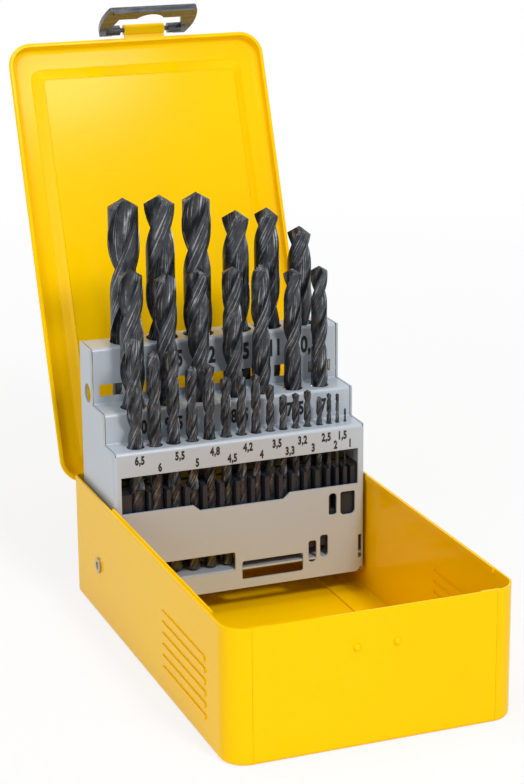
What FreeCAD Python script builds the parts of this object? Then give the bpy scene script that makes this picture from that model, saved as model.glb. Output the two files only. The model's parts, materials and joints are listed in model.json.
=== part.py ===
"""Sheet-metal case for 29 twist drills: box, hinged lid with a clip latch, and a folding drill stand.

Frame: X across the case, -Y is the front wall, +Z up. The origin is the middle of the flat bottom.
All sizes are in millimetres. The model stands as it is used: lid open, stand upright, drills in place.
"""
import FreeCAD, Part
import math
import os

os.makedirs("parts", exist_ok=True)

V = FreeCAD.Vector

# Case: one floor sheet with front and back walls, and two side sheets wrapped round the front corners
case_width = 113.0
case_length = 184.0
case_height = 52.0
sheet = 0.8
front_corner_radius = 9.5
back_corner_radius = 3.0
floor_edge_radius = 1.8
seam_inset = 9.3
seam_gap = 0.12
lap_width = 6.0
lap_anchor = 1.2
rim_lip_height = 0.6
rim_lip_depth = 1.5
rim_lip_front = 19.0
rim_lip_stand_gap = 0.2
rim_lip_clearance = 0.3

# Embossed ribs on both side walls
rib_count = 6
rib_length = 46.0
rib_front_inset = 23.5
rib_lowest = 10.6
rib_pitch = 4.5
rib_width = 2.2
rib_height = 0.5

# Catch dimples on the front wall
dimple_spacing = 15.6
dimple_drop = 13.2
dimple_radius = 1.5

# Lid: a shallow tray with a pressed panel and a beaded rim
lid_depth = 5.0
lid_gap = 0.3
lid_back_reach = 1.6
lid_front_reach = 2.1
lid_side_reach = 0.8
lid_corner_radius = 9.5
lid_edge_radius = 3.4
lid_open_angle = 110.0
panel_side_inset = 9.2
panel_front_inset = 10.3
panel_back_inset = 7.7
panel_slope = 3.4
panel_slope_depth = 1.7
panel_step = 1.2
panel_depth = 2.4
panel_corner_radius = 4.6
panel_corner_share = 0.6
bead_radius = 0.7
bead_seat = 0.1

# Back hinge
hinge_length = 90.0
knuckle_count = 9
knuckle_gap = 0.3
knuckle_radius = 2.3
hinge_pin_radius = 1.4
hinge_bore_clearance = 0.06
hinge_drop = 7.1
leaf_height = 7.0
leaf_notch_clearance = 0.4

# Clip latch on the front edge of the lid
latch_offset = 4.1
lug_width = 18.0
lug_reach = 4.5
barrel_radius = 2.3
barrel_rise = 1.0
stub_radius = 1.0
stub_clearance = 0.08
stub_length = 3.6
clip_width = 39.0
clip_side_bulge = 1.8
clip_length = 18.8
clip_arm_width = 5.5
clip_front = 1.3
clip_back = 1.2
clip_boss_radius = 2.2
clip_bar_start = 11.8
clip_corner_radius = 1.4
clip_foot_length = 2.8
clip_side_gap = 2.0
clip_notch = 2.6
clip_arch_width = 12.0
clip_arch_height = 3.4
clip_lip_length = 1.6
clip_lip_height = 0.8
clip_edge_round = 0.5
clip_rest_angle = 15.0

# Folding drill stand
stand_side_gap = 0.4
stand_back_gap = 5.05
stand_foot = 10.5
tier_heights = (64.4, 77.0, 100.3)
tier_depths = (13.2, 15.15, 15.6)
bend_radius = 0.6
side_bend_radius = 0.8
tier_slit = 0.35
side_return = 5.0
return_drop = 10.0
rear_flange = 9.0
heel_radius = 6.0
pivot_back = 16.5
pivot_up = 12.5
side_hole_radius = 4.0
side_hole_back = 33.0
side_hole_drop = 19.3
toe_cut = 3.5

# Openings in the stand's front plate: heights are from its foot, side places are shares of its half width
sight_margin = 3.0
sight_top = 54.2
sight_low = 38.8
sight_step = 36.3
sight_step_share = 0.334
sight_slope = 2.9
shank_window_shares = (-0.886, -0.061)
shank_window_heights = (8.0, 16.2)
shelf_window_shares = (-0.007, 0.491)
shelf_window_heights = (3.7, 11.7)
slot_shares = ((0.535, 0.601), (0.631, 0.697), (0.703, 0.769), (0.799, 0.921))
slot_heights = ((6.9, 16.4), (8.5, 18.2), (26.5, 35.9), (25.8, 36.0))
edge_slot_depth = 2.8
edge_slot_heights = (5.9, 16.2)
window_round = 1.0
riser_window_low = 3.2
riser_window_height = 5.0
riser_window_bar = 5.2
riser_window_margin = 1.0
riser_window_count = 7

# Inside the stand
shelf_level = 8.6
shelf_slot_front = 14.4
shelf_slot_back = 27.8
shelf_slot_margin = 7.8
step_margin = 0.4
step_flange = 3.6
comb_front = 2.2
comb_back = 12.2
comb_top = 46.0
comb_low_large = 17.0
comb_low_small = 12.9
comb_large_count = 6
comb_leg = 1.6
guide_low = 40.0
guide_front = 14.2
guide_leg_front = 26.0
guide_leg = 1.6
plastic_gap = 0.2
channel_clearance = 0.3

# Pivot rivets between case and stand
rivet_radius = 1.6
rivet_head_radius = 3.2
rivet_head_height = 0.9
rivet_clearance = 0.06
washer_radius = 4.2
washer_gap = 0.12

# Twist drills: diameter, overall length, flute length and the level of the seat
front_row = ((6.5, 101.0, 63.0, 8.6), (6.0, 93.0, 57.0, 10.6), (5.5, 93.0, 57.0, 10.6), (5.0, 86.0, 52.0, 9.6),
             (4.8, 86.0, 52.0, 9.6), (4.5, 80.0, 47.0, 9.6), (4.2, 75.0, 43.0, 14.2), (4.0, 75.0, 43.0, 14.2),
             (3.5, 70.0, 39.0, 14.2), (3.3, 65.0, 36.0, 14.2), (3.2, 65.0, 36.0, 14.2), (3.0, 61.0, 33.0, 18.8),
             (2.5, 57.0, 30.0, 19.4), (2.0, 49.0, 24.0, 28.4), (1.5, 40.0, 18.0, 36.8), (1.0, 34.0, 12.0, 36.0))
middle_row = ((10.0, 133.0, 87.0, 1.0), (9.5, 125.0, 81.0, 6.2), (9.0, 125.0, 81.0, 6.2), (8.5, 117.0, 75.0, 14.1),
              (8.0, 117.0, 75.0, 14.1), (7.5, 109.0, 69.0, 18.9), (7.0, 109.0, 69.0, 18.9))
back_row = ((13.0, 151.0, 101.0, 8.6), (12.5, 151.0, 101.0, 8.6), (12.0, 151.0, 101.0, 8.6),
            (11.5, 142.0, 94.0, 8.6), (11.0, 142.0, 94.0, 8.6), (10.5, 133.0, 87.0, 8.6))

# Places along each row, as shares of the stand's half width, and how far each row stands back from the front plate
front_row_shares = (-0.790, -0.643, -0.495, -0.350, -0.213, -0.080, 0.043, 0.159,
                    0.274, 0.379, 0.481, 0.577, 0.674, 0.754, 0.823, 0.887)
middle_row_shares = (-0.718, -0.452, -0.194, 0.077, 0.304, 0.561, 0.780)
back_row_shares = (-0.668, -0.384, -0.094, 0.218, 0.470, 0.738)
front_row_back = 6.4
middle_row_back = 20.2
back_row_back = 36.3

# How far each drill is turned about its own axis, in degrees
front_row_turns = (20, 75, 130, 5, 50, 100, 150, 35, 85, 140, 10, 60, 110, 160, 45, 95)
middle_row_turns = (40, 95, 150, 20, 75, 130, 120)
back_row_turns = (112, 25, 59, 5, 152, 170)

# Shape of a drill
hole_clearance = 0.35
seat_gap = 0.05
flute_pitch_share = 6.2
land_angle = 43.0
margin_angle = 10.0
land_clearance_share = 0.95
core_share = 0.2
point_angle = 118.0
shank_chamfer_share = 0.06

# One overrun for every cut
cut = 2.0

# Places that follow from the sizes above
half_width = case_width / 2
y_front = -case_length / 2
y_back = case_length / 2
seam_x = half_width - seam_inset
lid_rim = case_height + lid_gap
lid_back = y_back + lid_back_reach
lid_front = y_front - lid_front_reach
lid_half = half_width + lid_side_reach
hinge_y = lid_back + knuckle_radius
hinge_z = case_height - hinge_drop
barrel_y = lid_front - lug_reach
barrel_z = lid_rim + barrel_rise
stand_half = half_width - 2 * sheet - rim_lip_clearance - stand_side_gap
stand_depth = sum(tier_depths)
stand_front = y_back - sheet - stand_back_gap - stand_depth
shelf_slot_half = stand_half - shelf_slot_margin
pivot_y = stand_front + pivot_back
pivot_z = stand_foot + pivot_up


def block(x0, x1, y0, y1, z0, z1):
    """A block between two corners."""
    return Part.makeBox(x1 - x0, y1 - y0, z1 - z0, V(x0, y0, z0))


def upright(radius, x, y, z0, z1):
    """A round rod along Z."""
    return Part.makeCylinder(radius, z1 - z0, V(x, y, z0), V(0, 0, 1))


def crossbar(radius, x0, x1, y, z):
    """A round rod along X."""
    return Part.makeCylinder(radius, x1 - x0, V(x0, y, z), V(1, 0, 0))


def prism_x(points, x0, x1):
    """A polygon given as (y, z) points, drawn out along X."""
    corners = [V(x0, y, z) for y, z in points]
    face = Part.Face(Part.makePolygon(corners + corners[:1]))
    return face.extrude(V(x1 - x0, 0, 0))


def prism_y(points, y0, y1):
    """A polygon given as (x, z) points, drawn out along Y."""
    corners = [V(x, y0, z) for x, z in points]
    face = Part.Face(Part.makePolygon(corners + corners[:1]))
    return face.extrude(V(0, y1 - y0, 0))


def mirrored(shape):
    """The same piece on the other side of the case."""
    return shape.mirror(V(0, 0, 0), V(1, 0, 0))


def join(shapes):
    """One solid from pieces that touch."""
    whole = shapes[0]
    for shape in shapes[1:]:
        whole = whole.fuse(shape)
    return whole.removeSplitter()


def near(value, target):
    return abs(value - target) < seam_gap / 2


def edges_along(shape, axis, places):
    """Straight edges along X, Y or Z whose other two coordinates match one of the places."""
    others = [i for i in range(3) if i != axis]
    found = []
    for edge in shape.Edges:
        if len(edge.Vertexes) != 2:
            continue
        a, b = [vertex.Point for vertex in edge.Vertexes]
        if any(not near(a[i], b[i]) for i in others):
            continue
        if near(a[axis], b[axis]):
            continue
        if any(near(a[others[0]], p) and near(a[others[1]], q) for p, q in places):
            found.append(edge)
    return found


def edges_at_height(shape, z):
    """Edges that lie in one level plane."""
    return [edge for edge in shape.Edges
            if near(edge.BoundBox.ZMin, z) and near(edge.BoundBox.ZMax, z)]


def rounded_block(half_x, y0, y1, z0, z1, front_radius, rear_radius):
    """A block with round upright corners."""
    body = block(-half_x, half_x, y0, y1, z0, z1)
    body = body.makeFillet(front_radius, edges_along(body, 2, [(-half_x, y0), (half_x, y0)]))
    return body.makeFillet(rear_radius, edges_along(body, 2, [(-half_x, y1), (half_x, y1)]))


def case_tub(inset, top):
    """The outline of the case, inset by a number of sheet thicknesses."""
    body = rounded_block(half_width - inset, y_front + inset, y_back - inset, inset, top,
                         front_corner_radius - inset, back_corner_radius - inset)
    return body.makeFillet(floor_edge_radius - inset, edges_at_height(body, inset))


def lid_tub(inset, base):
    """The outline of the lid, closed, inset by its sheet."""
    top = lid_rim + lid_depth - inset
    body = rounded_block(lid_half - inset, lid_front + inset, lid_back - inset, base, top,
                         lid_corner_radius - inset, lid_corner_radius - inset)
    return body.makeFillet(lid_edge_radius - inset, edges_at_height(body, top))


def outline_wire(half_x, y0, y1, radius, z):
    """A level rounded rectangle."""
    body = rounded_block(half_x, y0, y1, z, z + cut, radius, radius)
    for face in body.Faces:
        if near(face.BoundBox.ZMin, z) and near(face.BoundBox.ZMax, z):
            return face.OuterWire
    return None


def pressed_panel(top):
    """The space of the panel that is pressed down into the lid: a slope, then a fine step."""
    rings = []
    for inset, depth in ((0, 0), (panel_slope, panel_slope_depth), (panel_slope + panel_step, panel_depth)):
        half_x = lid_half - panel_side_inset - inset
        y0 = lid_front + panel_front_inset + inset
        y1 = lid_back - panel_back_inset - inset
        radius = panel_corner_radius - inset * panel_corner_share
        rings.append(outline_wire(half_x, y0, y1, radius, top - depth))
    return Part.makeLoft(rings, True, True)


def open_lid(shape):
    """Swing a piece of the closed lid open about the back hinge."""
    turned = shape.copy()
    turned.rotate(V(0, hinge_y, hinge_z), V(1, 0, 0), -lid_open_angle)
    return turned


def swing_clip(shape):
    """Swing the clip out from its locked place, on the closed lid."""
    turned = shape.copy()
    turned.rotate(V(0, barrel_y, barrel_z), V(1, 0, 0), -clip_rest_angle)
    return turned


# Case sheets
wall_shell = case_tub(0, case_height).cut(case_tub(sheet, case_height + cut))
lap_shell = case_tub(sheet, case_height).cut(case_tub(2 * sheet, case_height + cut))


def case_tray():
    """Floor with the front and back walls, and the two catch dimples."""
    half = seam_x - seam_gap / 2
    tray = wall_shell.common(block(-half, half, y_front - cut, y_back + cut, -cut, case_height + cut))
    for side in (-1, 1):
        centre = V(side * dimple_spacing / 2, y_front, case_height - dimple_drop)
        dimple = Part.makeSphere(dimple_radius, centre)
        keep = block(-half, half, y_front - cut, y_front + sheet / 2, 0, case_height)
        tray = tray.fuse(dimple.common(keep))
    return tray.removeSplitter()


def case_side():
    """Right side sheet: wall, wrapped corners, welded laps, rim lip, ribs and pivot hole."""
    edge = seam_x + seam_gap / 2
    wall = wall_shell.common(block(edge, half_width + cut, y_front - cut, y_back + cut, -cut, case_height + cut))
    lap = lap_shell.common(block(seam_x - lap_width, seam_x + lap_anchor, y_front, y_back, 0, case_height))
    lip_face = half_width - sheet - rim_lip_clearance
    lip_back = stand_front - rim_lip_stand_gap
    lip_foot = block(lip_face - sheet, half_width - sheet, y_front + rim_lip_front, lip_back,
                     case_height - rim_lip_depth, case_height)
    lip = block(lip_face - sheet, lip_face, y_front + rim_lip_front, lip_back,
                case_height - rim_lip_depth, case_height + rim_lip_height)
    side = join([wall, lap, lip_foot, lip])
    for row in range(rib_count):
        z = rib_lowest + row * rib_pitch
        side = side.fuse(rib(z, half_width, rib_width / 2))
        side = side.cut(rib(z, half_width - sheet, rib_width / 2 - rib_height / 2))
    hole = crossbar(rivet_radius, half_width - 2 * sheet, half_width + cut, pivot_y, pivot_z)
    return side.cut(hole).removeSplitter()


def rib(z, face_x, half_height):
    """One long round-ended rib that stands out from a face of the side wall."""
    y0 = y_front + rib_front_inset
    y1 = y0 + rib_length
    x0 = face_x - sheet / 4
    x1 = face_x + rib_height
    body = block(x0, x1, y0, y1, z - half_height, z + half_height)
    body = body.fuse(crossbar(half_height, x0, x1, y0, z))
    return body.fuse(crossbar(half_height, x0, x1, y1, z)).removeSplitter()


# Lid
def lid_shell():
    """The tray of the lid, with its pressed panel and beaded rim."""
    top = lid_rim + lid_depth
    hollow = lid_tub(sheet, lid_rim - cut).cut(pressed_panel(top - sheet))
    shell = lid_tub(0, lid_rim).cut(hollow).cut(pressed_panel(top))
    shell = shell.fuse(rim_bead())
    half = lug_width / 2 + knuckle_gap
    gap = block(latch_offset - half, latch_offset + half, lid_front - cut, lid_front,
                lid_rim - cut, lid_rim + lid_depth - lid_edge_radius)
    return open_lid(shell.cut(gap).removeSplitter())


def rim_bead():
    """The bead round the rim, left open at the hinge."""
    z = lid_rim + bead_radius
    x = lid_half + bead_seat
    front = lid_front - bead_seat
    back = lid_back + bead_seat
    radius = lid_corner_radius + bead_seat
    turn = radius * (1 - math.cos(math.pi / 4))
    end = hinge_length / 2 + knuckle_gap
    path = Part.Wire([
        Part.makeLine(V(end, back, z), V(x - radius, back, z)),
        Part.Arc(V(x - radius, back, z), V(x - turn, back - turn, z), V(x, back - radius, z)).toShape(),
        Part.makeLine(V(x, back - radius, z), V(x, front + radius, z)),
        Part.Arc(V(x, front + radius, z), V(x - turn, front + turn, z), V(x - radius, front, z)).toShape(),
        Part.makeLine(V(x - radius, front, z), V(-x + radius, front, z)),
        Part.Arc(V(-x + radius, front, z), V(-x + turn, front + turn, z), V(-x, front + radius, z)).toShape(),
        Part.makeLine(V(-x, front + radius, z), V(-x, back - radius, z)),
        Part.Arc(V(-x, back - radius, z), V(-x + turn, back - turn, z), V(-x + radius, back, z)).toShape(),
        Part.makeLine(V(-x + radius, back, z), V(-end, back, z)),
    ])
    ring = Part.Wire([Part.makeCircle(bead_radius, V(end, back, z), V(1, 0, 0))])
    return path.makePipeShell([ring], True, True)


# Back hinge
def knuckle(index):
    """One rolled knuckle with its two ends."""
    pitch = hinge_length / knuckle_count
    x0 = -hinge_length / 2 + index * pitch + knuckle_gap / 2
    x1 = x0 + pitch - knuckle_gap
    roll = crossbar(knuckle_radius, x0, x1, hinge_y, hinge_z)
    return x0, x1, roll


def bored(leaf):
    """A leaf with the pin bore through its knuckles."""
    return leaf.cut(crossbar(hinge_pin_radius + hinge_bore_clearance, -hinge_length, hinge_length,
                             hinge_y, hinge_z))


def hinge_leaf_case():
    """The leaf on the back of the case, with the odd knuckles held out on tabs."""
    half = hinge_length / 2
    tab_low = hinge_z - knuckle_radius
    pieces = [block(-half, half, y_back, y_back + sheet, hinge_z - leaf_height, hinge_z + knuckle_radius)]
    for index in range(0, knuckle_count, 2):
        x0, x1, roll = knuckle(index)
        pieces.append(block(x0, x1, y_back, hinge_y, tab_low, tab_low + sheet))
        pieces.append(roll)
    return bored(join(pieces))


def hinge_leaf_lid():
    """The leaf that hangs from the back of the lid, with the even knuckles."""
    half = hinge_length / 2
    high = lid_rim + lid_depth - lid_edge_radius
    low = hinge_z + knuckle_radius + leaf_notch_clearance
    pieces = [block(-half, half, lid_back, lid_back + sheet, low, high)]
    for index in range(1, knuckle_count, 2):
        x0, x1, roll = knuckle(index)
        pieces.append(block(x0, x1, lid_back, lid_back + sheet, hinge_z, high))
        pieces.append(roll)
    return open_lid(bored(join(pieces)))


def hinge_pin():
    """The steel wire through all the knuckles."""
    half = hinge_length / 2 + knuckle_gap
    return crossbar(hinge_pin_radius, -half, half, hinge_y, hinge_z)


# Latch
def lid_lug():
    """The sheet lug on the front of the lid, rolled to a barrel for the clip."""
    low = latch_offset - lug_width / 2
    high = latch_offset + lug_width / 2
    leaf = block(low, high, lid_front - sheet, lid_front, lid_rim, lid_rim + lid_depth - lid_edge_radius)
    arm = block(low, high, barrel_y, lid_front, barrel_z - sheet / 2, barrel_z + sheet / 2)
    roll = crossbar(barrel_radius, low, high, barrel_y, barrel_z)
    lug = join([leaf, arm, roll])
    return open_lid(lug.cut(crossbar(stub_radius + stub_clearance, low - cut, high + cut, barrel_y, barrel_z)))


def clip_outline(half, tip, foot, y0, y1):
    """The clip's plate with its swelling sides, drawn along Y."""
    middle = (tip + foot) / 2
    wide = half + clip_side_bulge
    edge = Part.Wire([
        Part.makeLine(V(-half, y0, foot), V(half, y0, foot)),
        Part.Arc(V(half, y0, foot), V(wide, y0, middle), V(half, y0, tip)).toShape(),
        Part.makeLine(V(half, y0, tip), V(-half, y0, tip)),
        Part.Arc(V(-half, y0, tip), V(-wide, y0, middle), V(-half, y0, foot)).toShape(),
    ])
    plate = Part.Face(edge).extrude(V(0, y1 - y0, 0))
    return plate.makeFillet(clip_corner_radius, edges_along(plate, 1, [(-half, tip), (half, tip)]))


def latch_clip():
    """The moulded clip, built hanging straight down from the lug and then swung out."""
    half = clip_width / 2
    inner = half - clip_arm_width
    y0 = barrel_y - clip_front
    y1 = barrel_y + clip_back
    tip = barrel_z - clip_length
    foot = barrel_z + clip_foot_length
    bar_top = barrel_z - clip_bar_start
    body = clip_outline(half, tip, foot, y0, y1)
    notch = inner + clip_notch
    boss_low = barrel_z - clip_boss_radius
    opening = [(-inner, foot + cut), (-inner, boss_low), (-notch, boss_low), (-inner, bar_top),
               (inner, bar_top), (notch, boss_low), (inner, boss_low), (inner, foot + cut)]
    body = body.cut(prism_y(opening, y0 - cut, y1 + cut))
    arch_half = clip_arch_width / 2
    arch_rise = clip_arch_height
    arch_radius = (arch_half ** 2 + arch_rise ** 2) / (2 * arch_rise)
    arch = Part.makeCylinder(arch_radius, y1 - y0 + 2 * cut,
                             V(0, y0 - cut, bar_top - arch_rise + arch_radius), V(0, 1, 0))
    body = body.cut(arch)
    lip_half = half - clip_corner_radius
    lip = block(-lip_half, lip_half, y1 - sheet, y1 + clip_lip_height, tip, tip + clip_lip_length)
    body = body.fuse(lip)
    boss_inner = lug_width / 2 + clip_side_gap
    for side in (-1, 1):
        low, high = sorted((side * boss_inner, side * (half - clip_arm_width / 2)))
        body = body.fuse(crossbar(clip_boss_radius, low, high, barrel_y, barrel_z))
        low, high = sorted((side * (lug_width / 2 - stub_length), side * (boss_inner + stub_length)))
        body = body.fuse(crossbar(stub_radius, low, high, barrel_y, barrel_z))
    body = body.removeSplitter()
    body = body.makeFillet(clip_edge_round, edges_along(body, 0, [(y0, tip)]))
    body.translate(V(latch_offset, 0, 0))
    return open_lid(swing_clip(body))


# Drill stand
def stand_profile(inset):
    """Side outline of the stand as (y, z) corners, offset inwards by a thickness."""
    y0 = stand_front + inset
    z0 = stand_foot
    points = [(y0, z0)]
    depth = 0
    for height, run in zip(tier_heights, tier_depths):
        points.append((stand_front + depth + inset, z0 + height - inset))
        depth += run
        points.append((stand_front + depth + inset, z0 + height - inset))
    points[-1] = (stand_front + depth - inset, z0 + tier_heights[-1] - inset)
    points.append((stand_front + depth - inset, z0))
    return points


def stand_shell():
    """One bent sheet: front plate, side panels, and three tiers with their risers."""
    y0 = stand_front
    y1 = stand_front + stand_depth
    top = stand_foot + tier_heights[-1]
    outer = block(-stand_half, stand_half, y0, y1, stand_foot, top)
    places = [(-stand_half, y0), (stand_half, y0), (-stand_half, y1), (stand_half, y1)]
    outer = outer.makeFillet(side_bend_radius + sheet, edges_along(outer, 2, places))
    half_in = stand_half - sheet
    inner = block(-half_in, half_in, y0 + sheet, y1 - sheet, stand_foot - cut, top + cut)
    places = [(-half_in, y0 + sheet), (half_in, y0 + sheet), (-half_in, y1 - sheet), (half_in, y1 - sheet)]
    inner = inner.makeFillet(side_bend_radius, edges_along(inner, 2, places))
    channel = outer.cut(inner)
    rear_gap = half_in - side_return
    channel = channel.cut(block(-rear_gap, rear_gap, y1 - cut, y1 + cut, stand_foot - cut, top + cut))
    channel = channel.cut(block(-stand_half - cut, stand_half + cut, y1 - sheet, y1 + cut,
                                top - return_drop, top + cut))
    side_view = prism_x(stand_profile(0), -stand_half - cut, stand_half + cut)
    channel = channel.common(side_view)
    strip_half = half_in - tier_slit
    strip = tier_strip(strip_half)
    room = block(-half_in, half_in, y0 + sheet, y1 + cut, stand_foot + tier_heights[0] - sheet, top + cut)
    front_top = stand_foot + tier_heights[0]
    trim = block(-strip_half - tier_slit, strip_half + tier_slit, y0 - cut, y0 + bend_radius + sheet,
                 front_top - bend_radius - sheet, front_top + cut)
    channel = channel.cut(room).cut(trim)
    shell = join([channel, strip])
    shell = shell.cut(heel_cut())
    shell = cut_front_openings(shell)
    shell = cut_riser_windows(shell)
    for x, y, drill, turn in all_drills():
        shell = shell.cut(upright(drill[0] / 2 + hole_clearance, x, y,
                                  stand_foot + tier_heights[0] - cut, top + cut))
    pivot = crossbar(rivet_radius + rivet_clearance, -stand_half - cut, stand_half + cut, pivot_y, pivot_z)
    shell = shell.cut(pivot)
    hole_z = top - side_hole_drop
    return shell.cut(crossbar(side_hole_radius, -stand_half - cut, stand_half + cut,
                              y0 + side_hole_back, hole_z))


def tier_strip(half):
    """The stepped strip from the top of the front plate to the rear flange."""
    outside = prism_x(stand_profile(0), -half, half)
    inside = prism_x(stand_profile(sheet), -half - cut, half + cut)
    outside = round_steps(outside, 0, bend_radius + sheet, bend_radius)
    inside = round_steps(inside, sheet, bend_radius, bend_radius + sheet)
    strip = outside.cut(inside)
    low = stand_foot + tier_heights[0] - bend_radius - 2 * sheet
    front_keep = block(-half - cut, half + cut, stand_front - cut, stand_front + sheet + cut,
                       low, low + case_length)
    middle_keep = block(-half - cut, half + cut, stand_front + sheet, stand_front + stand_depth - 2 * sheet,
                        low, low + case_length)
    top = stand_foot + tier_heights[-1]
    rear_keep = block(-half - cut, half + cut, stand_front + stand_depth - 2 * sheet,
                      stand_front + stand_depth + cut, top - rear_flange, top + cut)
    return strip.common(join([front_keep, middle_keep, rear_keep]))


def round_steps(body, inset, convex, concave):
    """Round the bends of the stepped outline."""
    corners = stand_profile(inset)
    outward = [corners[1], corners[3], corners[5], corners[6]]
    inward = [corners[2], corners[4]]
    body = body.makeFillet(convex, edges_along(body, 0, outward))
    return body.makeFillet(concave, edges_along(body, 0, inward))


def heel_cut():
    """Round off the lower rear corners of the side panels."""
    y1 = stand_front + stand_depth
    z1 = stand_foot + heel_radius
    corner = block(-stand_half - cut, stand_half + cut, y1 - heel_radius, y1 + cut, stand_foot - cut, z1)
    return corner.cut(crossbar(heel_radius, -stand_half - cut, stand_half + cut, y1 - heel_radius, z1))


def front_window(x0, x1, z0, z1, round_top, round_low):
    """A through cut in the front plate, with chosen corner radii."""
    y0 = stand_front - cut
    y1 = stand_front + sheet + cut
    body = block(x0, x1, y0, y1, stand_foot + z0, stand_foot + z1)
    top = [(x0, stand_foot + z1), (x1, stand_foot + z1)]
    low = [(x0, stand_foot + z0), (x1, stand_foot + z0)]
    body = body.makeFillet(round_top, edges_along(body, 1, top))
    return body.makeFillet(round_low, edges_along(body, 1, low))


def cut_front_openings(shell):
    """Sight window, shank window, shelf window and the small slots."""
    z = stand_foot
    sight_half = stand_half - sight_margin
    step_half = stand_half * sight_step_share
    sight = [(-sight_half, z + sight_top), (-sight_half, z + sight_low),
             (-step_half - sight_slope, z + sight_low), (-step_half, z + sight_step),
             (step_half, z + sight_step), (step_half + sight_slope, z + sight_low),
             (sight_half, z + sight_low), (sight_half, z + sight_top)]
    shell = shell.cut(prism_y(sight, stand_front - cut, stand_front + sheet + cut))
    for shares, heights in ((shank_window_shares, shank_window_heights),
                            (shelf_window_shares, shelf_window_heights)):
        x0, x1 = [stand_half * share for share in shares]
        shell = shell.cut(front_window(x0, x1, *heights, window_round, window_round))
    for index, (shares, heights) in enumerate(zip(slot_shares, slot_heights)):
        x0, x1 = [stand_half * share for share in shares]
        full_round = (x1 - x0) / 2 - seam_gap
        rounds = ((window_round, full_round), (window_round, full_round),
                  (full_round, window_round), (window_round, 2 * window_round))[index]
        shell = shell.cut(front_window(x0, x1, *heights, *rounds))
    for side in (-1, 1):
        low, high = sorted((side * (stand_half - edge_slot_depth), side * (stand_half + cut)))
        shell = shell.cut(block(low, high, stand_front - cut, stand_front + sheet + bend_radius,
                                z + edge_slot_heights[0], z + edge_slot_heights[1]))
        toe = [(side * (stand_half + cut), z - cut), (side * (stand_half + cut), z + toe_cut),
               (side * stand_half, z + toe_cut), (side * (stand_half - toe_cut), z),
               (side * (stand_half - toe_cut), z - cut)]
        shell = shell.cut(prism_y(toe, stand_front - cut, stand_front + sheet + bend_radius))
    return shell


def cut_riser_windows(shell):
    """The row of windows low in the top riser."""
    y = stand_front + tier_depths[0] + tier_depths[1]
    z = stand_foot + tier_heights[1] + riser_window_low
    pitch = 2 * (stand_half - riser_window_margin) / riser_window_count
    half = (pitch - riser_window_bar) / 2
    for index in range(riser_window_count):
        x = (index - (riser_window_count - 1) / 2) * pitch
        shell = shell.cut(block(x - half, x + half, y - cut, y + sheet + bend_radius, z, z + riser_window_height))
    return shell


def base_shelf():
    """The level sheet that the front and back rows stand on."""
    half = stand_half - sheet
    top = stand_foot + shelf_level
    y0 = stand_front + sheet
    y1 = stand_front + stand_depth - sheet
    plate = block(-half, half, y0, y1, top - sheet, top)
    places = [(-half, y0), (half, y0), (-half, y1), (half, y1)]
    plate = plate.makeFillet(side_bend_radius + seam_gap, edges_along(plate, 2, places))
    return plate.cut(block(-shelf_slot_half, shelf_slot_half, stand_front + shelf_slot_front,
                           stand_front + shelf_slot_back, top - cut, top + cut))


def middle_steps():
    """The stepped sheet strip that brings the middle row's tips level."""
    places = row_places(middle_row_shares)
    z = stand_foot
    levels = [(z + drill[3] - seat_gap) for drill in middle_row]
    half = shelf_slot_half - step_margin
    flange = z + shelf_level + sheet
    line = [(-half - step_flange, flange), (-half, flange)]
    for index, level in enumerate(levels):
        start = -half if index == 0 else (places[index - 1] + places[index]) / 2
        if index == 0 or level != levels[index - 1]:
            line.append((start, line[-1][1]))
            line.append((start, level))
    line.append((half, levels[-1]))
    line.append((half, flange))
    line.append((half + step_flange, flange))
    pieces = []
    for (x0, z0), (x1, z1) in zip(line, line[1:]):
        if x0 != x1 or z0 != z1:
            low, high = min(z0, z1), max(z0, z1)
            pieces.append(block(x0 - sheet / 2, x1 + sheet / 2, stand_front + shelf_slot_front + step_margin,
                                stand_front + shelf_slot_back - step_margin, low - sheet, high))
    return join(pieces)


def shank_comb():
    """The moulded comb whose open channels hold the front row."""
    half = stand_half - sheet - plastic_gap
    y0 = stand_front + comb_front
    y1 = stand_front + comb_back
    z = stand_foot
    places = row_places(front_row_shares)
    comb_split = (places[comb_large_count - 1] + places[comb_large_count]) / 2
    large = block(-half, comb_split, y0, y1, z + comb_low_large, z + comb_top)
    small = block(comb_split, half, y0, y1, z + comb_low_small, z + comb_top)
    legs = [block(-half, -half + comb_leg, y0, y1, z + shelf_level, z + comb_top),
            block(half - comb_leg, half, y0, y1, z + shelf_level, z + comb_top)]
    comb = join([large, small] + legs)
    y = stand_front + front_row_back
    for x, drill in zip(places, front_row):
        radius = drill[0] / 2 + channel_clearance
        floor = z + drill[3] - seat_gap if x > comb_split else z
        comb = comb.cut(upright(radius, x, y, floor, z + comb_top + cut))
        comb = comb.cut(block(x - radius, x + radius, y0 - cut, y, floor, z + comb_top + cut))
    return comb


def rear_guide():
    """The moulded plate that keeps the middle and back rows upright, on two end legs."""
    half = stand_half - sheet - plastic_gap
    y0 = stand_front + guide_front
    y1 = stand_front + stand_depth - sheet - plastic_gap
    z = stand_foot
    plate = block(-half, half, y0, y1, z + guide_low, z + comb_top)
    leg_front = stand_front + guide_leg_front
    legs = [block(-half, -half + guide_leg, leg_front, y1, z + shelf_level, z + guide_low),
            block(half - guide_leg, half, leg_front, y1, z + shelf_level, z + guide_low)]
    guide = join([plate] + legs)
    for row, shares, back in ((middle_row, middle_row_shares, middle_row_back),
                              (back_row, back_row_shares, back_row_back)):
        for x, drill in zip(row_places(shares), row):
            guide = guide.cut(upright(drill[0] / 2 + channel_clearance, x, stand_front + back,
                                      z + guide_low - cut, z + comb_top + cut))
    return guide


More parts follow.
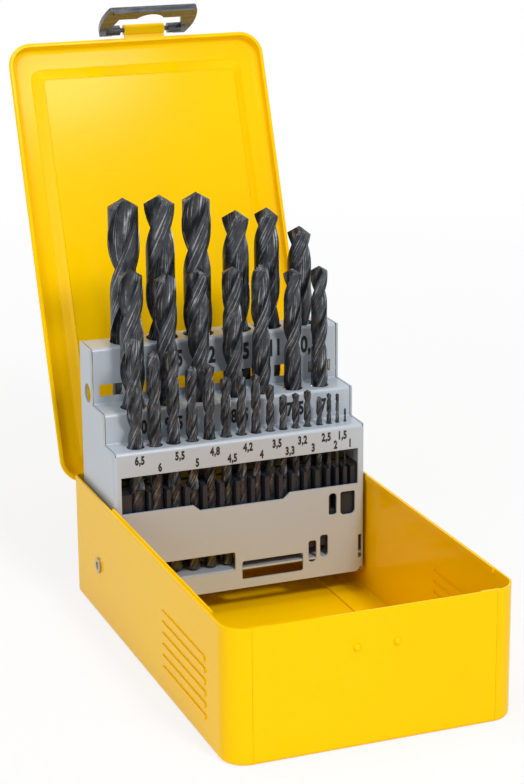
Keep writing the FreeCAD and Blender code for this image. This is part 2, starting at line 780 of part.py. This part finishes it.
# Pivots
def pivot_rivets():
    """A rivet through each side wall, with the stand hung on its shank."""
    outer_head = Part.makeCylinder(rivet_head_radius, rivet_head_height,
                                   V(half_width, pivot_y, pivot_z), V(1, 0, 0))
    inner_face = stand_half - sheet - washer_gap
    inner_head = Part.makeCylinder(rivet_head_radius, rivet_head_height,
                                   V(inner_face - rivet_head_height, pivot_y, pivot_z), V(1, 0, 0))
    shank = crossbar(rivet_radius, inner_face - rivet_head_height, half_width, pivot_y, pivot_z)
    rim = half_width + rivet_head_height
    dish = Part.makeCylinder(rivet_radius, rivet_head_height, V(rim - rivet_head_height / 2, pivot_y, pivot_z),
                             V(1, 0, 0))
    outer_head = outer_head.cut(dish)
    right = join([outer_head, shank, inner_head])
    return Part.makeCompound([right, mirrored(right)])


def pivot_washers():
    """A washer on each rivet, between the case wall and the stand."""
    x0 = stand_half + washer_gap
    x1 = half_width - sheet
    ring = crossbar(washer_radius, x0, x1, pivot_y, pivot_z)
    right = ring.cut(crossbar(rivet_radius, x0 - cut, x1 + cut, pivot_y, pivot_z))
    return Part.makeCompound([right, mirrored(right)])


# Drills
def row_places(shares):
    """Places along X for a row."""
    return [stand_half * share for share in shares]


def all_drills():
    """Every drill with the place of its axis and its turn."""
    rows = ((front_row, front_row_shares, front_row_back, front_row_turns),
            (middle_row, middle_row_shares, middle_row_back, middle_row_turns),
            (back_row, back_row_shares, back_row_back, back_row_turns))
    found = []
    for row, shares, back, turns in rows:
        for x, drill, turn in zip(row_places(shares), row, turns):
            found.append((x, stand_front + back, drill, turn))
    return found


def polar(radius, degrees, z):
    angle = math.radians(degrees)
    return V(radius * math.cos(angle), radius * math.sin(angle), z)


def flute_section(radius, z):
    """Cross-section of the fluted part: two relieved lands with their margins, and two hollow flutes."""
    core = radius * core_share
    relief = radius * land_clearance_share
    edges = []
    for turn in (0, 180):
        heel = turn - land_angle
        step = turn + land_angle - margin_angle
        lip = turn + land_angle
        edges.append(Part.Arc(polar(relief, heel, z), polar(relief, turn, z), polar(relief, step, z)).toShape())
        edges.append(Part.makeLine(polar(relief, step, z), polar(radius, step, z)))
        edges.append(Part.Arc(polar(radius, step, z), polar(radius, (step + lip) / 2, z),
                              polar(radius, lip, z)).toShape())
        edges.append(Part.Arc(polar(radius, lip, z), polar(core, turn + 90, z),
                              polar(relief, heel + 180, z)).toShape())
    return Part.Wire(edges)


def twist_drill(diameter, length, flute_length):
    """A twist drill standing on its shank, point up."""
    radius = diameter / 2
    shank_length = length - flute_length
    spine = Part.Wire([Part.makeLine(V(0, 0, shank_length), V(0, 0, length))])
    helix = Part.makeHelix(flute_pitch_share * diameter, flute_length, radius)
    helix.translate(V(0, 0, shank_length))
    sweep = Part.BRepOffsetAPI.MakePipeShell(spine)
    sweep.setAuxiliarySpine(Part.Wire(helix.Edges), True, 0)
    sweep.add(flute_section(radius, shank_length))
    sweep.build()
    sweep.makeSolid()
    point = radius / math.tan(math.radians(point_angle / 2))
    wide = 2 * radius
    outline = [V(0, 0, length + radius), V(0, 0, length), V(wide, 0, length - 2 * point),
               V(wide, 0, length + radius), V(0, 0, length + radius)]
    around = Part.Face(Part.makePolygon(outline)).revolve(V(0, 0, 0), V(0, 0, 1), 360)
    fluted = sweep.shape().cut(around)
    shank = Part.makeCylinder(radius, shank_length)
    foot = [edge for edge in shank.Edges if near(edge.BoundBox.ZMax, 0)]
    shank = shank.makeChamfer(shank_chamfer_share * diameter, foot)
    return fluted.fuse(shank)


def drill_name(diameter):
    return "drill_" + ("%04.1f" % diameter).replace(".", "_")


# Write every piece
pieces = {
    "case_tray": case_tray(),
    "case_side_right": case_side(),
    "lid_shell": lid_shell(),
    "hinge_leaf_case": hinge_leaf_case(),
    "hinge_leaf_lid": hinge_leaf_lid(),
    "hinge_pin": hinge_pin(),
    "lid_lug": lid_lug(),
    "latch_clip": latch_clip(),
    "stand_shell": stand_shell(),
    "base_shelf": base_shelf(),
    "middle_steps": middle_steps(),
    "shank_comb": shank_comb(),
    "rear_guide": rear_guide(),
    "pivot_rivets": pivot_rivets(),
    "pivot_washers": pivot_washers(),
}
pieces["case_side_left"] = mirrored(pieces["case_side_right"])
for x, y, (diameter, length, flute_length, level), turn in all_drills():
    standing = twist_drill(diameter, length, flute_length)
    standing.rotate(V(0, 0, 0), V(0, 0, 1), turn)
    standing.translate(V(x, y, stand_foot + level))
    pieces[drill_name(diameter)] = standing

for name, shape in pieces.items():
    shape.exportStep("parts/" + name + ".step")
    print(name, len(shape.Solids), "solids, volume", round(shape.Volume, 2), "valid", shape.isValid())
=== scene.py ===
"""Drill bit case: painted sheet, blackened twist drills, a moulded clip latch and printed sizes.

Metres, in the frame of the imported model: X across the case, -Y the front wall, +Z up.
"""
import bpy
import json
import math
from mathutils import Matrix, Vector

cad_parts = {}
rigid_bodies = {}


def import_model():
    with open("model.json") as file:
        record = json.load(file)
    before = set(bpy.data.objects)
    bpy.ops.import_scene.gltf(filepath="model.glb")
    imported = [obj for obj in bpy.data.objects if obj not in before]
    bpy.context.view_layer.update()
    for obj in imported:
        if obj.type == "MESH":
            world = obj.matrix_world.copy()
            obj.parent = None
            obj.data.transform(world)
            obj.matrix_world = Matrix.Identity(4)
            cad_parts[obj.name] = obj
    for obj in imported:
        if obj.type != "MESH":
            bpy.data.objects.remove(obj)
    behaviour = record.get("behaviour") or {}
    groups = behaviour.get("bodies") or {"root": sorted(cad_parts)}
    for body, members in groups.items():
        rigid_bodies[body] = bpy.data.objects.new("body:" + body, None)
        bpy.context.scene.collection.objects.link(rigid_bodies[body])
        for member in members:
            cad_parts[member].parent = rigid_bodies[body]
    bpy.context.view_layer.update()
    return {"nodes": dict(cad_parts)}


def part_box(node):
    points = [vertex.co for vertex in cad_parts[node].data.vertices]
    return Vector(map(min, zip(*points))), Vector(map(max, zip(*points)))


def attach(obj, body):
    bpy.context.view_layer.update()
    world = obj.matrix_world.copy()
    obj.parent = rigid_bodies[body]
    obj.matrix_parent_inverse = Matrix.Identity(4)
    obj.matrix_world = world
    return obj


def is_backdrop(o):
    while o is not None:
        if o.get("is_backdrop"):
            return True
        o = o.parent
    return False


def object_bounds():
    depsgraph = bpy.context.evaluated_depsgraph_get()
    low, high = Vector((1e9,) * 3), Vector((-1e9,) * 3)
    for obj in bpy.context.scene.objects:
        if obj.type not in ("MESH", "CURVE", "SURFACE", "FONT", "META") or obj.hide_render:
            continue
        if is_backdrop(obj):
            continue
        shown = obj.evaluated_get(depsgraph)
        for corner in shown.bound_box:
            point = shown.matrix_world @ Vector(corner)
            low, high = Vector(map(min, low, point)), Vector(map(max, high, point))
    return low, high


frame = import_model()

nodes = frame["nodes"]
MM = 0.001


def let_go():
    """Nothing is selected."""
    for obj in bpy.context.view_layer.objects:
        obj.select_set(False)


def pick(obj):
    """Only this object is selected and active."""
    let_go()
    obj.select_set(True)
    bpy.context.view_layer.objects.active = obj


def settle(obj):
    """Put the object's place, turn and size into its mesh."""
    pick(obj)
    bpy.ops.object.transform_apply(location=True, rotation=True, scale=True)


def name_piece(obj, name):
    """Give an object and its mesh one name."""
    obj.name = name
    obj.data.name = name


# Shader maths
class Wire:
    """A shader socket that takes part in sums."""

    def __init__(self, owner, socket):
        self.owner = owner
        self.socket = socket

    def math(self, operation, *values):
        made = self.owner.node("ShaderNodeMath", {"operation": operation}, dict(enumerate(values)))
        return made["Value"]

    def __add__(self, other):
        return self.math("ADD", self, other)

    def __radd__(self, other):
        return self.math("ADD", other, self)

    def __mul__(self, other):
        return self.math("MULTIPLY", self, other)

    def __rmul__(self, other):
        return self.math("MULTIPLY", other, self)


class Sockets:
    """The outputs of a node, as wires."""

    def __init__(self, owner, node):
        self.owner = owner
        self.node = node

    def __getitem__(self, name):
        return Wire(self.owner, self.node.outputs[name])


class Nodes:
    """A node tree, and the one way its nodes are made."""

    def __init__(self, tree):
        self.tree = tree
        self.tree.nodes.clear()

    def feed(self, node, socket, value):
        """Link a wire to a socket, or set a plain value on it."""
        if isinstance(value, Wire):
            self.tree.links.new(value.socket, node.inputs[socket])
        else:
            node.inputs[socket].default_value = value

    def node(self, kind, settings=None, values=None):
        """Make a node: its settings first, then the values or links of its sockets."""
        made = self.tree.nodes.new(kind)
        for name, setting in (settings or {}).items():
            setattr(made, name, setting)
        for socket, value in (values or {}).items():
            self.feed(made, socket, value)
        return Sockets(self, made)

    def seen_rays(self):
        """1 for the rays that the camera sends, also by way of a gloss or through glass."""
        path = self.node("ShaderNodeLightPath")
        return path["Is Camera Ray"] + path["Is Glossy Ray"] + path["Is Transmission Ray"]

    def either(self, share, first, second):
        """Mix two shaders by a share."""
        return self.node("ShaderNodeMixShader", None, {0: share, 1: first, 2: second})["Shader"]


class Finish(Nodes):
    """A material with one shader."""

    def __init__(self, name, **shader):
        self.material = bpy.data.materials.new(name)
        self.material.use_nodes = True
        super().__init__(self.material.node_tree)
        made = self.node("ShaderNodeBsdfPrincipled")
        self.shader = made.node
        self.surface = made["BSDF"]
        self.output = self.node("ShaderNodeOutputMaterial", None, {"Surface": self.surface}).node
        for socket, value in shader.items():
            self.paint(socket.replace("_", " "), value)

    def paint(self, socket, value):
        """Link or set a socket of the shader."""
        self.feed(self.shader, socket, value)

    def noise(self, place, scale, detail=2.0, roughness=0.5):
        """Cloudy noise from 0 to 1."""
        values = {"Vector": place, "Scale": scale, "Detail": detail, "Roughness": roughness}
        return self.node("ShaderNodeTexNoise", None, values)["Fac"]

    def between(self, value, low, high, start=0.0, end=1.0):
        """Carry a value from one range to another, held at both ends."""
        values = {"Value": value, "From Min": low, "From Max": high, "To Min": start, "To Max": end}
        return self.node("ShaderNodeMapRange", {"clamp": True}, values)["Result"]

    def blend(self, share, first, second):
        """Mix two colours by a share."""
        made = self.node("ShaderNodeMix", {"data_type": "RGBA"}, {0: share, 6: first, 7: second})
        return made[2]

    def place(self):
        """The object's own coordinates."""
        return self.node("ShaderNodeTexCoord")["Object"]

    def map(self, place, **change):
        """Move or stretch coordinates."""
        values = {"Vector": place}
        for name, value in change.items():
            values[name.capitalize()] = value
        return self.node("ShaderNodeMapping", {"vector_type": "POINT"}, values)["Vector"]

    def bump(self, height, strength, distance):
        """Raise the surface by a height."""
        values = {"Height": height, "Strength": strength, "Distance": distance}
        self.paint("Normal", self.node("ShaderNodeBump", None, values)["Normal"])


def colour(red, green, blue):
    """An opaque colour."""
    return (red, green, blue, 1.0)


OXIDE_DARK = colour(0.012, 0.013, 0.016)
OXIDE_WORN = colour(0.055, 0.059, 0.068)
# Pale colour of the thin drill lines: grinding marks, and painted highlight along the flutes
OXIDE_SCRATCH_AND_GLINT = colour(0.31, 0.325, 0.355)


def wear(obj, finish):
    """Give a piece one finish all over."""
    obj.data.materials.clear()
    obj.data.materials.append(finish.material)


def stove_enamel(name, clean, deep, gloss, shine, peel):
    """Sprayed and baked paint: slow drift in tone, fine orange peel, a clear hard surface."""
    finish = Finish(name, IOR=1.5, Specular_IOR_Level=shine)
    where = finish.place()
    drift = finish.between(finish.noise(where, scale=14.0), low=0.2, high=0.8)
    grain = finish.noise(where, scale=900.0, detail=1.0)
    haze = finish.noise(where, scale=60.0, detail=4.0, roughness=0.6)
    finish.paint("Base Color", finish.blend(drift * 0.6 + grain * 0.15, clean, deep))
    finish.paint("Roughness", finish.between(haze, low=0.2, high=0.8, start=gloss, end=gloss + 0.05))
    finish.bump(grain + haze * 0.4, strength=0.25, distance=peel)
    return finish


def black_oxide(name, x, y, pitch, radius):
    """Blackened high-speed steel: dark, satin, with grinding streaks that follow the twist; the thin
    pale lines in its colour are partly grinding marks and partly painted highlight.
    """
    finish = Finish(name, Metallic=0.45, Specular_IOR_Level=0.6)
    where = finish.place()
    centred = finish.map(where, location=(-x, -y, 0.0))
    height = finish.node("ShaderNodeSeparateXYZ", None, {"Vector": where})["Z"]
    turned = finish.node("ShaderNodeVectorRotate", {"rotation_type": "Z_AXIS"},
                         {"Vector": centred, "Angle": height * (-2 * math.pi / pitch)})["Vector"]
    along = finish.map(turned, scale=(1.0, 1.0, 0.03))
    streak = finish.noise(along, scale=2.2 / radius, detail=4.0, roughness=0.65)
    fine = finish.noise(along, scale=9.0 / radius, detail=3.0, roughness=0.65)
    cloud = finish.noise(where, scale=260.0, detail=3.0, roughness=0.6)
    shade = finish.between(streak * 0.6 + cloud * 0.4, low=0.36, high=0.64)
    # Thin pale lines along the twist: grinding marks and painted highlight, set into the base colour
    scratch_and_glint = finish.between(fine * 0.8 + cloud * 0.2, low=0.55, high=0.63)
    body = finish.blend(shade, OXIDE_DARK, OXIDE_WORN)
    finish.paint("Base Color", finish.blend(scratch_and_glint, body, OXIDE_SCRATCH_AND_GLINT))
    satin = finish.between(cloud * 0.5 + fine * 0.5, low=0.3, high=0.7, start=0.24, end=0.42)
    finish.paint("Roughness", satin)
    finish.bump(streak * 0.7 + fine * 0.5, strength=0.6, distance=0.13 * MM)
    return finish


def moulded(name, base, sheen):
    """Moulded plastic with a faint mould grain."""
    finish = Finish(name, IOR=1.46, Base_Color=base)
    where = finish.place()
    grain = finish.noise(where, scale=1800.0, roughness=0.6)
    cloud = finish.noise(where, scale=120.0)
    finish.paint("Roughness", finish.between(cloud, low=0.3, high=0.7, start=sheen, end=sheen + 0.12))
    finish.bump(grain, strength=0.3, distance=0.03 * MM)
    return finish


def streaked_sheen_plastic(name, dark, pale):
    """Glossy moulded plastic whose surface has fine streaks along the clip; the paler streaks in its
    colour are partly painted sheen.
    """
    finish = Finish(name, IOR=1.5, Specular_IOR_Level=0.9)
    where = finish.place()
    along = finish.map(where, scale=(0.07, 1.0, 1.0))
    streak = finish.noise(along, scale=900.0, detail=4.0, roughness=0.65)
    cloud = finish.noise(where, scale=150.0, detail=3.0, roughness=0.6)
    shade = finish.between(streak * 0.8 + cloud * 0.2, low=0.42, high=0.62)
    # Paler streaks in the colour: real streaks of the moulding, and painted sheen
    finish.paint("Base Color", finish.blend(shade, dark, pale))
    gloss = finish.between(streak * 0.6 + cloud * 0.4, low=0.35, high=0.65, start=0.12, end=0.36)
    finish.paint("Roughness", gloss)
    finish.bump(streak + cloud * 0.4, strength=0.5, distance=0.12 * MM)
    return finish


def plated(name, dull, bright):
    """Plated steel, slightly mottled."""
    finish = Finish(name, Metallic=1.0)
    where = finish.place()
    mottle = finish.noise(where, scale=700.0, detail=3.0, roughness=0.6)
    finish.paint("Base Color", finish.blend(mottle, dull, bright))
    finish.paint("Roughness", finish.between(mottle, low=0.3, high=0.7, start=0.24, end=0.4))
    finish.bump(mottle, strength=0.2, distance=0.04 * MM)
    return finish


yellow = stove_enamel("yellow_enamel", clean=colour(0.98, 0.595, 0.0), deep=colour(0.95, 0.545, 0.0),
                      gloss=0.11, shine=0.07, peel=0.03 * MM)
grey = stove_enamel("grey_enamel", clean=colour(0.45, 0.5, 0.555), deep=colour(0.42, 0.47, 0.53),
                    gloss=0.22, shine=0.6, peel=0.01 * MM)
plastic = moulded("black_moulding", base=colour(0.02, 0.025, 0.036), sheen=0.36)
# Clip: dark plastic whose paler streaks are partly painted sheen
clip_plastic = streaked_sheen_plastic("clip_moulding", dark=colour(0.012, 0.013, 0.016),
                             pale=colour(0.065, 0.075, 0.095))
zinc = plated("zinc_plate", dull=colour(0.5, 0.48, 0.43), bright=colour(0.74, 0.73, 0.7))
bronze = plated("yellow_passivated_zinc", dull=colour(0.33, 0.26, 0.13), bright=colour(0.6, 0.53, 0.36))
print_black = moulded("printed_black", base=colour(0.012, 0.012, 0.012), sheen=0.5)

worn_by = (
    (yellow, ("case_tray", "case_side_left", "case_side_right", "lid_shell", "lid_lug",
              "hinge_leaf_case", "hinge_leaf_lid")),
    (grey, ("stand_shell", "base_shelf", "middle_steps")),
    (plastic, ("shank_comb", "rear_guide")),
    (zinc, ("hinge_pin", "pivot_washers")),
    (bronze, ("pivot_rivets",)),
    (clip_plastic, ("latch_clip",)),
)
for finish, names in worn_by:
    for name in names:
        wear(nodes[name], finish)

# One finish for each drill, centred on its axis and turned with its flutes
DRILL = "drill_"
FLUTE_PITCH_SHARE = 6.2
for name, obj in nodes.items():
    if name.startswith(DRILL):
        size = name[len(DRILL):]
        diameter = float(size.replace("_", ".")) * MM
        low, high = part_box(name)
        axis = (low + high) / 2
        pitch = FLUTE_PITCH_SHARE * diameter
        wear(obj, black_oxide("oxide_" + size, axis.x, axis.y, pitch, radius=diameter / 2))

# Printed sizes on the stand: each diameter with its place across the stand, in millimetres
FRONT_MARKS = (
    (6.5, -43.3), (6.0, -34.9), (5.5, -26.4), (5.0, -19.1), (4.8, -11.5), (4.5, -4.1),
    (4.2, 2.7), (4.0, 8.6), (3.5, 15.3), (3.3, 21.0), (3.2, 26.5), (3.0, 31.2),
    (2.5, 37.0), (2.0, 41.1), (1.5, 44.1), (1.0, 47.6),
)
MIDDLE_MARKS = (
    (10.0, -38.6), (9.5, -24.2), (9.0, -9.3), (8.5, 4.2), (8.0, 17.2), (7.5, 28.7), (7.0, 41.1),
)
BACK_MARKS = (
    (13.0, -35.4), (12.5, -20.2), (12.0, -3.7), (11.5, 9.0), (11.0, 25.7), (10.5, 39.6),
)
DIGIT_HEIGHT_SHARE = 0.73
INK_THICKNESS = 0.03 * MM
INK_GAP = 0.01 * MM
stand_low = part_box("stand_shell")[0]
foot = stand_low.z
front_face = stand_low.y - INK_GAP


def number(text, place, height, width_share, bold, spread):
    """One printed number, centred on a place of an upright face."""
    bpy.ops.object.text_add(location=(0.0, 0.0, 0.0))
    obj = bpy.context.object
    obj.data.body = text
    obj.data.align_x = "CENTER"
    obj.data.align_y = "CENTER"
    obj.data.size = height / DIGIT_HEIGHT_SHARE
    obj.data.offset = bold
    obj.data.space_character = spread
    obj.data.extrude = INK_THICKNESS
    obj.data.resolution_u = 4
    pick(obj)
    bpy.ops.object.convert(target="MESH")
    obj = bpy.context.object
    obj.scale = (width_share, 1.0, 1.0)
    obj.rotation_euler = (math.pi / 2, 0.0, 0.0)
    obj.location = place
    settle(obj)
    return obj


def mark_row(name, marks, setback, levels, **letters):
    """A row of printed sizes on the stand, set back from its front face, at the levels in turn."""
    made = []
    for index, (diameter, across) in enumerate(marks):
        text = ("%g" % diameter).replace(".", ",")
        place = (across * MM, front_face + setback, foot + levels[index % len(levels)])
        made.append(number(text, place, **letters))
    let_go()
    for obj in made:
        obj.select_set(True)
    bpy.context.view_layer.objects.active = made[0]
    bpy.ops.object.join()
    row = bpy.context.object
    name_piece(row, name)
    wear(row, print_black)
    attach(row, "stand")


mark_row("size_marks_front", FRONT_MARKS, setback=0.0, levels=(60.5 * MM, 56.7 * MM),
         height=3.4 * MM, width_share=0.66, bold=0.24 * MM, spread=1.1)
mark_row("size_marks_middle", MIDDLE_MARKS, setback=13.2 * MM, levels=(69.9 * MM,),
         height=5.6 * MM, width_share=0.68, bold=0.32 * MM, spread=1.25)
mark_row("size_marks_back", BACK_MARKS, setback=28.35 * MM, levels=(92.4 * MM,),
         height=6.9 * MM, width_share=0.64, bold=0.4 * MM, spread=1.06)

# Fine press lines round the lid's raised panel, laid out on the closed lid and swung open with it
LINE_RADIUS = 0.3 * MM
PANEL_MIDDLE = 1.05 * MM
HINGE = Vector((0.0, 95.9 * MM, 44.9 * MM))
LID_ANGLE = math.radians(110.0)


def press_line(name, width, length, corner, height):
    """A fine rolled line round a rounded rectangle."""
    let_go()
    bpy.ops.mesh.primitive_plane_add(size=1.0, location=(0.0, 0.0, 0.0))
    obj = bpy.context.object
    obj.scale = (width, length, 1.0)
    settle(obj)
    bpy.ops.object.mode_set(mode="EDIT")
    bpy.ops.mesh.select_all(action="SELECT")
    bpy.ops.mesh.bevel(offset=corner, segments=8, affect="VERTICES")
    bpy.ops.mesh.delete(type="ONLY_FACE")
    bpy.ops.object.mode_set(mode="OBJECT")
    pick(obj)
    bpy.ops.object.convert(target="CURVE")
    obj = bpy.context.object
    obj.data.bevel_depth = LINE_RADIUS
    obj.data.bevel_resolution = 2
    bpy.ops.object.convert(target="MESH")
    obj = bpy.context.object
    name_piece(obj, name)
    obj.location = (0.0, PANEL_MIDDLE, height)
    settle(obj)
    swing = Matrix.Rotation(-LID_ANGLE, 4, "X")
    obj.matrix_world = Matrix.Translation(HINGE) @ swing @ Matrix.Translation(-HINGE)
    settle(obj)
    bpy.ops.object.shade_smooth()
    wear(obj, yellow)
    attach(obj, "lid")


press_line("panel_line_inner", width=86.7 * MM, length=160.2 * MM, corner=1.8 * MM, height=54.22 * MM)
press_line("panel_line_outer", width=96.2 * MM, length=169.7 * MM, corner=4.6 * MM, height=56.62 * MM)

# Floor: pale near the object, where its shadow shows, and plain white further away
WHITE = colour(1.0, 1.0, 1.0)
bpy.ops.mesh.primitive_plane_add(size=6.0, location=(0.0, 0.0, 0.0))
floor = bpy.context.object
floor.name = "floor"
settle(floor)
floor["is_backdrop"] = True
pale = colour(0.86, 0.86, 0.86)
ground = Finish("pale_floor", Base_Color=pale, Roughness=0.9, Specular_IOR_Level=0.1)
glow = ground.node("ShaderNodeEmission", None, {"Color": WHITE, "Strength": 1.0})["Emission"]
away = ground.node("ShaderNodeVectorMath", {"operation": "LENGTH"}, {0: ground.place()})["Value"]
glow_share = ground.seen_rays() * ground.between(away, low=0.2, high=0.9, start=0.8, end=1.0)
ground.feed(ground.output, "Surface", ground.either(glow_share, ground.surface, glow))
wear(floor, ground)

# World: even light, and plain white where it is seen
LIGHT_LEVEL = 0.45
world = bpy.data.worlds.new("studio")
bpy.context.scene.world = world
world.use_nodes = True
studio = Nodes(world.node_tree)
sky = studio.node("ShaderNodeBackground", None, {"Color": WHITE, "Strength": LIGHT_LEVEL})["Background"]
backdrop = studio.node("ShaderNodeBackground", None, {"Color": WHITE, "Strength": 1.0})["Background"]
seen = studio.either(studio.seen_rays(), sky, backdrop)
studio.node("ShaderNodeOutputWorld", None, {"Surface": seen})


def softbox(name, place, aim, width, height, power):
    """A soft rectangular lamp that points at a place."""
    bpy.ops.object.light_add(type="AREA", location=place)
    lamp = bpy.context.object
    lamp.name = name
    lamp.data.shape = "RECTANGLE"
    lamp.data.size = width
    lamp.data.size_y = height
    lamp.data.energy = power
    lamp.rotation_euler = (Vector(aim) - Vector(place)).to_track_quat("-Z", "Y").to_euler()


softbox("key_lamp", (0.2, -1.08, 1.22), aim=(0.0, 0.05, 0.1), width=0.25, height=0.25, power=11.0)
softbox("side_lamp", (-1.0, -0.75, 0.4), aim=(0.0, -0.05, 0.05), width=0.25, height=0.8, power=3.2)
softbox("lid_lamp", (0.33, -0.9, 0.86), aim=(-0.02, 0.162, 0.195), width=0.13, height=0.07, power=1.0)
softbox("top_lamp", (-0.2, 0.1, 1.4), aim=(0.0, 0.0, 0.0), width=0.9, height=0.9, power=5.0)

# Camera, at the photograph's angle
CAMERA_PLACE = Vector((-0.29029, -0.73574, 0.34105))
YAW = math.radians(21.04)
PITCH = math.radians(16.53)
ROLL = math.radians(-0.52)
FOCAL_PIXELS = 2160.76
PHOTO_HEIGHT_PIXELS = 784
SENSOR = 36.0
ahead = Vector((math.sin(YAW) * math.cos(PITCH), math.cos(YAW) * math.cos(PITCH), -math.sin(PITCH)))
level = ahead.cross(Vector((0.0, 0.0, 1.0))).normalized()
upright = level.cross(ahead)
camera_right = level * math.cos(ROLL) + upright * math.sin(ROLL)
camera_up = upright * math.cos(ROLL) - level * math.sin(ROLL)
turn = Matrix((camera_right, camera_up, -ahead)).transposed()
camera_data = bpy.data.cameras.new("camera")
camera_data.sensor_width = SENSOR
camera_data.lens = SENSOR * FOCAL_PIXELS / PHOTO_HEIGHT_PIXELS
camera_data.clip_start = 0.01
camera_data.clip_end = 20.0
camera = bpy.data.objects.new("camera", camera_data)
camera.matrix_world = Matrix.Translation(CAMERA_PLACE) @ turn.to_4x4()
bpy.context.scene.collection.objects.link(camera)
bpy.context.scene.camera = camera
bpy.context.scene.view_settings.view_transform = "Standard"

low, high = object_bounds()
